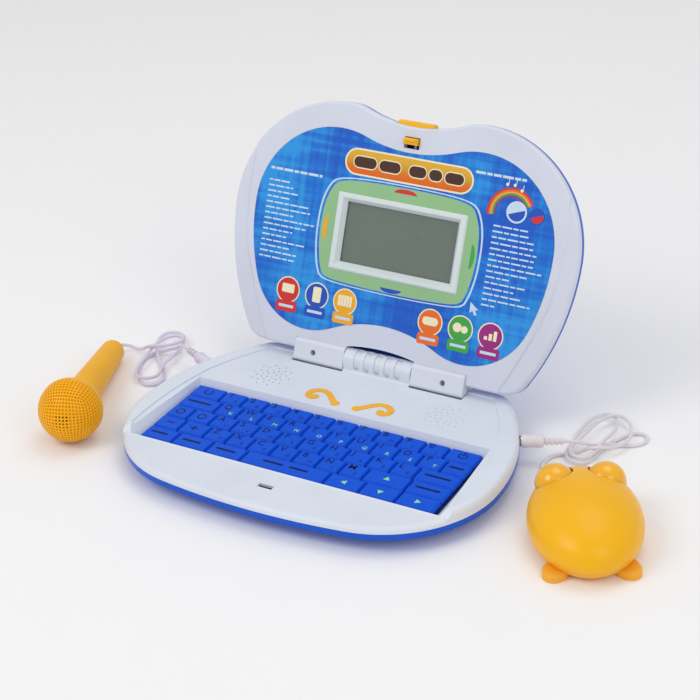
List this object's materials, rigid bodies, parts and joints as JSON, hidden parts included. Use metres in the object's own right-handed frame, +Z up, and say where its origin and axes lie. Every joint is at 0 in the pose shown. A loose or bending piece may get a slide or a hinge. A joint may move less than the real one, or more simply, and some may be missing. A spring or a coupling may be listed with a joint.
{
  "type": "toy laptop computer",
  "caption": "Toy laptop with hinged lid, small display, coloured printed panel, rubber keys, plug-in ball microphone and cartoon-animal mouse on gathered cords",
  "frame": {"origin": "on the surface the toy stands on, under the middle of the laptop's base; the named mount is the bottom of the middle foot", "axes": "+Z up, +X to the user's right, +Y away from the user, metres"},
  "size_m": [0.4151, 0.2316, 0.1751],
  "materials": {
    "pale_plastic": "fine satin moulded texture",
    "blue_plastic": "semi-gloss moulded",
    "key_rubber": "satin silicone with printed legends",
    "mat_rubber": "matt silicone",
    "foot_rubber": "matt rubber",
    "circuit_board": "solder-masked board",
    "dark_plastic": "matt",
    "steel": "zinc plated",
    "battery_can": "plain wrapped cells",
    "plated_metal": "nickel plated",
    "printed_art": "printed panel",
    "bezel_plastic": "satin",
    "clear_window": "clear polycarbonate",
    "lcd_face": "blank liquid-crystal display",
    "latch_yellow": "satin",
    "yellow_plastic": "satin moulded",
    "pale_orange_plastic": "satin moulded",
    "glossy_yellow": "polished",
    "cord_lilac": "soft vinyl",
    "cord_grey": "soft vinyl"
  },
  "bodies": {
    "base": {"base_top_shell": "pale_plastic", "base_bottom_shell": "blue_plastic", "base_screws": "steel", "rubber_feet": "foot_rubber", "batteries": "battery_can", "battery_contacts": "steel", "speaker": "dark_plastic", "main_board": "circuit_board", "mic_jack": "dark_plastic", "mouse_jack": "dark_plastic", "scroll_inlay_left": "latch_yellow", "scroll_inlay_right": "latch_yellow", "keypad_mat": "mat_rubber", "keypad_board": "circuit_board"},
    "lid": {"lid_front_frame": "pale_plastic", "lid_back_shell": "blue_plastic", "lid_screws": "steel", "art_panel": "printed_art", "screen_bezel": "bezel_plastic", "lcd_window": "clear_window", "lcd_glass": "lcd_face", "lcd_connectors": "mat_rubber", "lcd_board": "circuit_board", "hinge_block_left": "pale_plastic", "hinge_block_right": "pale_plastic", "hinge_pin_left": "steel", "hinge_pin_right": "steel", "hinge_block_screws": "steel", "latch_spring": "steel"},
    "latch_body": {"latch": "latch_yellow"},
    "door": {"battery_door": "blue_plastic", "battery_door_screw": "steel"},
    "mouse_set": {"mouse_top_shell": "yellow_plastic", "mouse_bottom_shell": "pale_orange_plastic", "mouse_board": "circuit_board", "mouse_plug_body": "cord_grey", "mouse_plug_pin": "plated_metal", "mouse_cord": "cord_grey", "mouse_cord_hank": "cord_grey"},
    "mouse_left_button": {"mouse_eye_left": "glossy_yellow"},
    "mouse_right_button": {"mouse_eye_right": "glossy_yellow"},
    "mic_set": {"mic_head": "yellow_plastic", "mic_handle": "yellow_plastic", "mic_capsule": "dark_plastic", "mic_plug_body": "cord_lilac", "mic_plug_pin": "plated_metal", "mic_cord": "cord_lilac", "mic_cord_hank": "cord_lilac"},
    "letter_keys_1_body": {"letter_keys_1": "key_rubber"},
    "letter_keys_2_body": {"letter_keys_2": "key_rubber"},
    "letter_keys_3_body": {"letter_keys_3": "key_rubber"},
    "letter_keys_4_body": {"letter_keys_4": "key_rubber"},
    "reset_key_body": {"reset_key": "key_rubber"},
    "power_key_body": {"power_key": "key_rubber"},
    "enter_key_body": {"enter_key": "key_rubber"},
    "edit_keys_body": {"edit_keys": "key_rubber"},
    "answer_keys_body": {"answer_keys": "key_rubber"},
    "mode_keys_body": {"mode_keys": "key_rubber"},
    "volume_keys_body": {"volume_keys": "key_rubber"},
    "arrow_keys_body": {"arrow_keys": "key_rubber"}
  },
  "joints": [
    {"name": "lid_hinge", "type": "hinge", "parent": "base", "child": "lid", "pos_m": [0, 0.07775, 0.02475], "axis": [1, 0, 0], "range_deg": [0, 111.87]},
    {"name": "latch_slide", "type": "slide", "parent": "lid", "child": "latch_body", "axis": [0, -0.3725, -0.928], "range_m": [0, 0.0017], "stiffness_N_per_m": 600, "springref_m": -0.001, "deforming": ["latch_spring"]},
    {"name": "battery_door_off", "type": "slide", "parent": "base", "child": "door", "axis": [0, 0, -1], "range_m": [0, 0.012]},
    {"name": "mouse_left_press", "type": "slide", "parent": "mouse_set", "child": "mouse_left_button", "axis": [0, 0, -1], "range_m": [0, 0.001], "stiffness_N_per_m": 400, "springref_m": -0.001},
    {"name": "mouse_right_press", "type": "slide", "parent": "mouse_set", "child": "mouse_right_button", "axis": [0, 0, -1], "range_m": [0, 0.001], "stiffness_N_per_m": 400, "springref_m": -0.001},
    {"name": "mouse_plug_pull", "type": "slide", "parent": "base", "child": "mouse_set", "axis": [0.9018, 0.4321, 0], "range_m": [0, 0.015]},
    {"name": "mic_plug_pull", "type": "slide", "parent": "base", "child": "mic_set", "axis": [-0.9018, 0.4321, 0], "range_m": [0, 0.015]},
    {"name": "letter_keys_1_press", "type": "slide", "parent": "base", "child": "letter_keys_1_body", "axis": [0, 0, -1], "range_m": [0, 0.0012], "stiffness_N_per_m": 500, "springref_m": -0.001},
    {"name": "letter_keys_2_press", "type": "slide", "parent": "base", "child": "letter_keys_2_body", "axis": [0, 0, -1], "range_m": [0, 0.0012], "stiffness_N_per_m": 500, "springref_m": -0.001},
    {"name": "letter_keys_3_press", "type": "slide", "parent": "base", "child": "letter_keys_3_body", "axis": [0, 0, -1], "range_m": [0, 0.0012], "stiffness_N_per_m": 500, "springref_m": -0.001},
    {"name": "letter_keys_4_press", "type": "slide", "parent": "base", "child": "letter_keys_4_body", "axis": [0, 0, -1], "range_m": [0, 0.0012], "stiffness_N_per_m": 500, "springref_m": -0.001},
    {"name": "reset_key_press", "type": "slide", "parent": "base", "child": "reset_key_body", "axis": [0, 0, -1], "range_m": [0, 0.0012], "stiffness_N_per_m": 500, "springref_m": -0.001},
    {"name": "power_key_press", "type": "slide", "parent": "base", "child": "power_key_body", "axis": [0, 0, -1], "range_m": [0, 0.0012], "stiffness_N_per_m": 500, "springref_m": -0.001},
    {"name": "enter_key_press", "type": "slide", "parent": "base", "child": "enter_key_body", "axis": [0, 0, -1], "range_m": [0, 0.0012], "stiffness_N_per_m": 500, "springref_m": -0.001},
    {"name": "edit_keys_press", "type": "slide", "parent": "base", "child": "edit_keys_body", "axis": [0, 0, -1], "range_m": [0, 0.0012], "stiffness_N_per_m": 500, "springref_m": -0.001},
    {"name": "answer_keys_press", "type": "slide", "parent": "base", "child": "answer_keys_body", "axis": [0, 0, -1], "range_m": [0, 0.0012], "stiffness_N_per_m": 500, "springref_m": -0.001},
    {"name": "mode_keys_press", "type": "slide", "parent": "base", "child": "mode_keys_body", "axis": [0, 0, -1], "range_m": [0, 0.0012], "stiffness_N_per_m": 500, "springref_m": -0.001},
    {"name": "volume_keys_press", "type": "slide", "parent": "base", "child": "volume_keys_body", "axis": [0, 0, -1], "range_m": [0, 0.0012], "stiffness_N_per_m": 500, "springref_m": -0.001},
    {"name": "arrow_keys_press", "type": "slide", "parent": "base", "child": "arrow_keys_body", "axis": [0, 0, -1], "range_m": [0, 0.0012], "stiffness_N_per_m": 500, "springref_m": -0.001}
  ]
}
